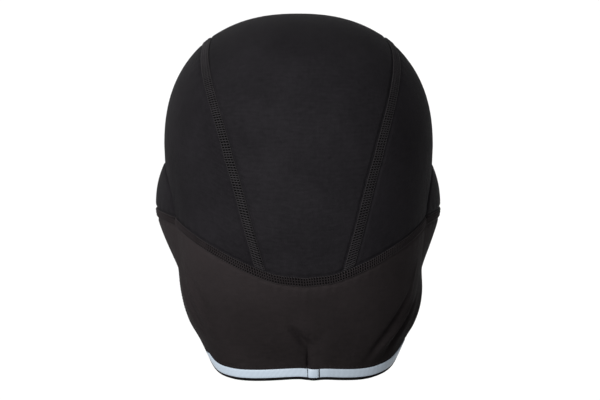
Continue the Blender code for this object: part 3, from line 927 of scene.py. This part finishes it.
ear_seams = []
for side, word in ((1, "right"), (-1, "left")):
    strip = shell(f"ear_seam_inside_{word}", 96, 6, on_side(ear_seam_shape, side), even(0.0002 - CLOTH),
                  lambda u, v: -CLOTH - STRIP_THICKNESS * (1 - (2 * v - 1) ** 4), [fleece, fleece])[0]
    ear_seams.append(attach(strip))
    for place, columns, rows, shape in (("side", 234, 70, side_shape), ("ear", 96, 40, ear_shape)):
        cloth = shell(f"{place}_cloth_{word}", columns, rows, on_side(shape, side), even(0.0), even(-CLOTH),
                      [side_knit, fleece])
        keep(f"{place}_cloth_{word}", cloth, f"{place}_panel_{word}")

# %% [markdown]
# ## The neck band
#
# The band is one ring of cloth, deep at the nape and narrow at the brow. Most of the folds lie in it.

# %% Sew the neck band
RING_COLUMNS = 560
HEM_LIP = 0.0016
HEM_DEPTH = 0.012
HEM_CLOTH = 0.0012
TAPE_WIDTH = 0.0048
TUCK_CROWDING = 4.0
TUCK_CROWD = math.radians(7)


def ring_turn(u):
    """Turns from -pi to pi, with the columns crowded round the tuck."""
    turn = np.linspace(-math.pi, math.pi, 4001)
    crowd = np.cumsum(1 + TUCK_CROWDING * bell(turn - TUCK_TURN, TUCK_CROWD))
    return np.interp(u, (crowd - crowd[0]) / (crowd[-1] - crowd[0]), turn)


def band_shape(u, v):
    """reach = above the hem's lip + rise * (band's seam - above the hem's lip)."""
    turn = ring_turn(u)
    low = reach_of(hem_drop(turn)) - HEM_LIP - 2 * GAP
    return flat(turn, low + to_ends(v) * (reach_of(seam_drop(turn) + GAP) - low))


neck = shell("neck_cloth", RING_COLUMNS, 74, band_shape, even(0.0), even(-CLOTH), [neck_knit, fleece],
             ring=True)
keep("neck_cloth", neck, "neck_band")

# %% [markdown]
# ## The turned hem
#
# The band's lower edge is turned up inside and stitched down. Seen from outside only a thin rounded black
# lip shows under the tape. Its outline is a closed loop: down the lip, round under the edge, up the
# inside, over the raw edge and back down. Each of its rows is a lift off the head's form and a height
# above the edge, in lips. That loop is carried round the hem.

# %% Turn the hem
HEM_NEAR = -(CLOTH + 4 * GAP)
HEM_FAR = HEM_NEAR - HEM_CLOTH
HEM_OUTLINE = np.array([
    (0.0000, 1.00), (0.0002, 0.75), (0.0002, 0.45), (-0.0001, 0.18), (-0.0007, 0.02), (-0.0015, 0.00),
    (-0.0024, 0.05), (-0.0031, 0.30), (HEM_FAR, 0.80), (HEM_FAR, 3.0), (HEM_FAR, 6.0), (HEM_FAR, 9.0),
    (HEM_FAR + 0.0003, 10.6), (HEM_FAR + 0.0006, HEM_DEPTH / HEM_LIP), (HEM_NEAR, 10.5), (HEM_NEAR, 8.0),
    (HEM_NEAR, 5.0), (HEM_NEAR, 2.0), (HEM_NEAR, 1.10), (-0.0011, 1.00),
])


def hem_ring():
    """Point = the hem line raised by the outline's height, lifted by the outline's lift."""
    columns, loop = RING_COLUMNS, len(HEM_OUTLINE)
    turn = ring_turn(np.arange(columns) / columns)
    lift, up = HEM_OUTLINE.T[..., None]
    reach = reach_of(hem_drop(turn)) - up * HEM_LIP
    points = laid(*flat(turn + 0 * up, reach), lift + 0 * turn)[0]
    corner = grid_quads(loop, columns)
    quads = corner[..., 0] % loop * columns + corner[..., 1] % columns
    closed = np.concatenate([points, points[:1]])
    closed = np.concatenate([closed, closed[:, :1]], axis=1)
    uv = np.stack([lengths(closed, 1), lengths(closed, 0)], axis=-1)[corner[..., 0], corner[..., 1]]
    return add_mesh("hem_cloth", points.reshape(-1, 3), quads, [hem_painted_shade_knit], uv), points


keep("hem_cloth", hem_ring(), "hem_fold")

# %% [markdown]
# ## Flat seams
#
# These panels are joined edge to edge by a flat seam, which doesn't press into the skin under a helmet.
# On its face, four rows of needle stitches run along it, and cover threads arch from row to row across it
# like the rungs of a ladder, one every 1.5 mm. Below the threads lie the two trimmed edges of cloth. That bed
# is a low strip painted dark, as painted shade between the threads, and the same seam shows again on the
# inside.

# %% The seams' beds and stitches
PITCH = 0.0015
NEEDLE_ROWS = np.array([-0.87, -0.29, 0.29, 0.87])
THREAD_RADIUS = 0.00036
NEEDLE_RADIUS = 0.00020
BED_RISE = 0.00035
BED_SUNK = 0.0002
BED_DEPTH = 0.0006
RUNG_ARCH = 0.00028
RUNG_END = 0.96
RUNG_SLANT = 0.00030
RUNG_WOBBLE = 0.10
NEEDLE_REACH = 0.40


def bed_top(share):
    """The strip is flat in its middle and rounded down to nothing at its edges, where the share is 1."""
    return BED_RISE * np.sqrt(np.clip(1 - np.abs(share) ** 8, 0, 1))


def stitch_seam(name, line, half, thread_finish, inward):
    """Rungs and needle stitches of one seam.

    line(t, aside) lays a point of the seam on the flat cloth. A rung is a path across the seam that
    arches between the needle rows as a cosine does, and a needle stitch is a short path along it, half a
    pitch further on.
    """
    place = lambda t, aside, lift: laid(*line(t, aside), lift)
    t, long = spots(lambda t: place(t, 0 * t, 0.0)[0], PITCH)
    sign, base = (-1, -CLOTH) if inward else (1, 0.0)
    share = np.linspace(-RUNG_END, RUNG_END, 7 if inward else 13)
    arch = RUNG_ARCH * np.abs(np.cos(math.pi / 2 * share / NEEDLE_ROWS[2]))
    slant = RUNG_SLANT * share / long
    wobble = RUNG_WOBBLE * PITCH / long * np.sin(37.0 * np.arange(len(t)))
    rung_t = np.clip((t + wobble)[:, None] + slant, 0, 1)
    rungs = place(rung_t, half * share + 0 * rung_t, base + sign * (bed_top(share) + arch) + 0 * rung_t)
    reach = np.linspace(-NEEDLE_REACH, NEEDLE_REACH, 3) * PITCH / long
    needle_t = np.clip(t[:, None, None] + 0.5 * PITCH / long + reach, 0, 1)
    rows = NEEDLE_ROWS[None, :, None] + 0 * needle_t
    bow = np.array([-0.00005, 0.00008, -0.00005]) + 0.00022 * np.abs(rows) ** 4
    needles = place(needle_t + 0 * rows, half * rows, base + sign * (bed_top(rows) + bow))
    made = []
    for kind, (paths, outward), radius, finish in (("rungs", rungs, THREAD_RADIUS, thread_finish),
                                                   ("needles", needles, NEEDLE_RADIUS, needle_thread_painted_sheen)):
        shape = (-1, *paths.shape[-2:])
        piece = thread_mesh(f"{name}_{kind}", paths.reshape(shape), outward.reshape(shape), radius, finish)
        made.append(attach(piece))
    print(f"{name}: {long * 1000:.0f} mm, {len(t)} rungs")
    return made


def crown_line(t, aside):
    """The centre panel's edge, where the share is 1, moved aside."""
    return panel_line(np.ones_like(t), t, BAND_SEAM_HALF + 4 * GAP, aside)


def ring_line(drop_of, up=0.0):
    """A line round the whole head, at a height above the drop that a function gives."""
    def line(t, aside):
        turn = math.pi * (2 * t - 1)
        return flat(turn, reach_of(drop_of(turn)) - up + aside)
    return line


seams = [("crown_seam_right", on_side(crown_line, 1), CROWN_SEAM_HALF, crown_thread, 260, False),
         ("crown_seam_left", on_side(crown_line, -1), CROWN_SEAM_HALF, crown_thread, 260, False),
         ("band_seam", ring_line(seam_drop), BAND_SEAM_HALF, band_thread, RING_COLUMNS, True)]
trimmings = list(ear_seams)
for node, line, half, finish, steps, ring in seams:
    shape = lambda u, v: line(u, (2 * v - 1) * half)
    # The bed's finish is painted shade: a deeper black between the threads.
    bed = shell(f"{node}_bed", steps, 8, shape, lambda u, v: bed_top(2 * v - 1) - BED_SUNK,
                even(-BED_DEPTH), [seam_bed_painted_shade, seam_bed_painted_shade], ring=ring)
    keep(f"{node}_bed", bed, node)
    made = stitch_seam(node, line, half, finish, False)
    made += stitch_seam(f"{node}_inside", line, half, finish, True)
    inside_bed = shell(f"{node}_inside_bed", steps, 8, shape, even(-CLOTH + 0.0004),
                       lambda u, v: -CLOTH - bed_top(2 * v - 1), [fleece, fleece], ring=ring)[0]
    attach(inside_bed)
    for piece in made:
        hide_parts(node)
    trimmings += [pieces[f"{node}_bed"], inside_bed, *made]

# %% [markdown]
# ## The reflective tape
#
# The tape follows the hem round the back of the neck. The tuck at the centre back folds it over once, so
# a short stretch stands a little proud of its two neighbours. Its long edges are pressed thin, and its
# left end is cut on a slant.

# %% Press on the tape
TAPE_THICKNESS = 0.0004
TAPE_END = math.radians(59)
TAPE_SLANT = math.radians(6)
TUCK_PROUD = 0.0005
TUCK_ENDS_SINK = 0.0006
NAPE_REACH = BACK_REACH * CUTS[2][-1]
half_tuck = TUCK_WIDTH / 2 / NAPE_REACH
clear_left, clear_right = (gap / NAPE_REACH for gap in (0.0005, 0.0006))


def tape(name, turn_from, turn_to, lift, columns, sink=0.0, slant=0.0):
    """A strip along the hem, whose first end leans by slant from its lower to its upper edge.

    top = lift + thickness * (1 - 0.6 * pressed) - ends, and the two are high powers of the way to an edge.
    """
    def shape(u, v):
        turn = turn_from + u * (turn_to - turn_from) + slant * v * (1 - u)
        return flat(turn, reach_of(hem_drop(turn)) - HEM_LIP - 2 * GAP - v * TAPE_WIDTH)

    def top(u, v):
        pressed = np.abs(2 * v - 1) ** 6
        ends = sink * np.abs(2 * u - 1) ** 8
        return lift + TAPE_THICKNESS * (1 - 0.6 * pressed) - ends

    made = shell(name, columns, 10, shape, top, even(lift - 0.0001), [tape_film, tape_film])
    keep(name, made, name.replace("film", "tape"))
    trimmings.append(pieces[name])


tuck_from, tuck_to = TUCK_TURN - half_tuck, TUCK_TURN + half_tuck
tape("reflective_film_left", -TAPE_END, tuck_from - clear_left, GAP, 220, slant=TAPE_SLANT)
tape("reflective_film_tuck", tuck_from, tuck_to, GAP + TUCK_PROUD, 24, sink=TUCK_ENDS_SINK)
tape("reflective_film_right", tuck_to + clear_right, TAPE_END, GAP, 200)

# %% [markdown]
# ## Stitches along the hem
#
# A row of short stitches above the tape holds the turned hem. On the inside the same row shows as small
# rungs over the raw edge.

# %% Stitch the hem
HEM_STITCH = 0.0026
HEM_STITCH_UP = 0.0016
BELOW_RAW_EDGE = 0.0006
HEM_THREAD_RADIUS = 0.00019


def stitch_hem():
    """Outside, short paths along the hem; inside, short slanting paths across the raw edge."""
    outside = ring_line(hem_drop, HEM_LIP + TAPE_WIDTH + HEM_STITCH_UP)
    inside = ring_line(hem_drop, HEM_DEPTH - BELOW_RAW_EDGE)
    t, long = spots(lambda t: laid(*outside(t, 0 * t), 0.0)[0], HEM_STITCH)
    step = HEM_STITCH / long
    along = np.clip(t[:, None] + np.linspace(-0.38, 0.38, 4) * step, 0, 1)
    lift = np.array([-0.00022, 0.00002, 0.00002, -0.00022]) + 0 * along
    row = laid(*outside(along, 0 * along), lift)
    slant = np.clip(t[:, None] + np.linspace(-0.42, 0.42, 5) * step, 0, 1)
    over = np.linspace(-0.0022, 0.0022, 5) + 0 * slant
    deep = np.array([HEM_NEAR + 0.0004, HEM_FAR + 0.0002, HEM_FAR - 0.0002, HEM_FAR - 0.0002, HEM_FAR])
    rungs = laid(*inside(slant, over), deep + 0 * slant)
    for name, (paths, outward) in (("hem_stitches", row), ("hem_stitches_inside", rungs)):
        piece = thread_mesh(name, paths, outward, HEM_THREAD_RADIUS, hem_thread)
        trimmings.append(attach(piece))
    print(f"hem: {long * 1000:.0f} mm round, {len(t)} stitches")


stitch_hem()

# Each was cut smaller than it is worn, by a tenth each way, and the flat sizes below say so.

# %% Flat sizes of the cloth
STRETCH = 1.10
SHEETS = ("centre_cloth", "side_cloth_right", "side_cloth_left", "ear_cloth_right", "ear_cloth_left",
          "neck_cloth")
for name in SHEETS:
    wide, long, area = (size / STRETCH ** power for size, power in zip(cut_sizes[name], (1, 1, 2)))
    wide, long, area = round(wide, 3), round(long, 3), round(area, 5)
    print(f"{name}: cut {wide * 1000:.0f} x {long * 1000:.0f} mm, {area * 1e4:.0f} cm2")

# %% [markdown]
# ## Floor and light
#
# The photograph has a plain white ground and shows the cap as a head holds it up. A pale floor lies well
# below the cap. The sky is brighter on the left than on the right, and its mean keeps the floor white.
# One large soft light stands on the left too. A weak one on the right keeps that side readable.

# %% Light the cap
def floor(name, height, half):
    """One wide quad."""
    points = half * np.array([(-1, -1, 0), (1, -1, 0), (1, 1, 0), (-1, 1, 0)], float)
    points[:, 2] = height
    mesh = bpy.data.meshes.new(name)
    mesh.from_pydata(points.tolist(), [], [(0, 1, 2, 3)])
    material = new_finish("pale floor", Base_Color=(0.97, 0.97, 0.97, 1.0), Roughness=0.9,
                          Specular_IOR_Level=0.0)[0]
    mesh.materials.append(material)
    add_object(name, mesh)


def soft_light(name, place, size, watts):
    """A square lamp that faces the middle of the cap."""
    lamp = bpy.data.lights.new(name, "AREA")
    lamp.size, lamp.energy = size, watts
    made = add_object(name, lamp)
    made.location = place
    toward = made.location - Vector(MIDDLE)
    made.rotation_euler = toward.to_track_quat("Z", "Y").to_euler()


SKY_STRENGTH = 1.06
SKY_LEFT = 1.50
SKY_RIGHT = 0.50
floor("floor", -3.0, 120.0)
soft_light("key light", (-1.16, -1.98, 0.75), 1.5, 190.0)
soft_light("fill light", (1.8, -1.4, 0.1), 1.4, 9.0)
sky = bpy.data.worlds.new("white sky")
sky.use_nodes = True
background = sky.node_tree.nodes["Background"]
background.inputs["Strength"].default_value = SKY_STRENGTH
start = Signal(background.outputs[0])
direction = start.node("ShaderNodeTexCoord", {}, out="Generated")
tone = between(start, 0.5 - axis_of(direction, "X") * 0.5, (SKY_RIGHT,) * 3, (SKY_LEFT,) * 3)
start.tree.links.new(tone.socket, background.inputs["Color"])
bpy.context.scene.world = sky
bpy.context.scene.view_settings.view_transform = "Standard"
print("two soft lights and a white sky")

# %% [markdown]
# ## The size
#
# The dressed cap has to stay the size of the solid model.
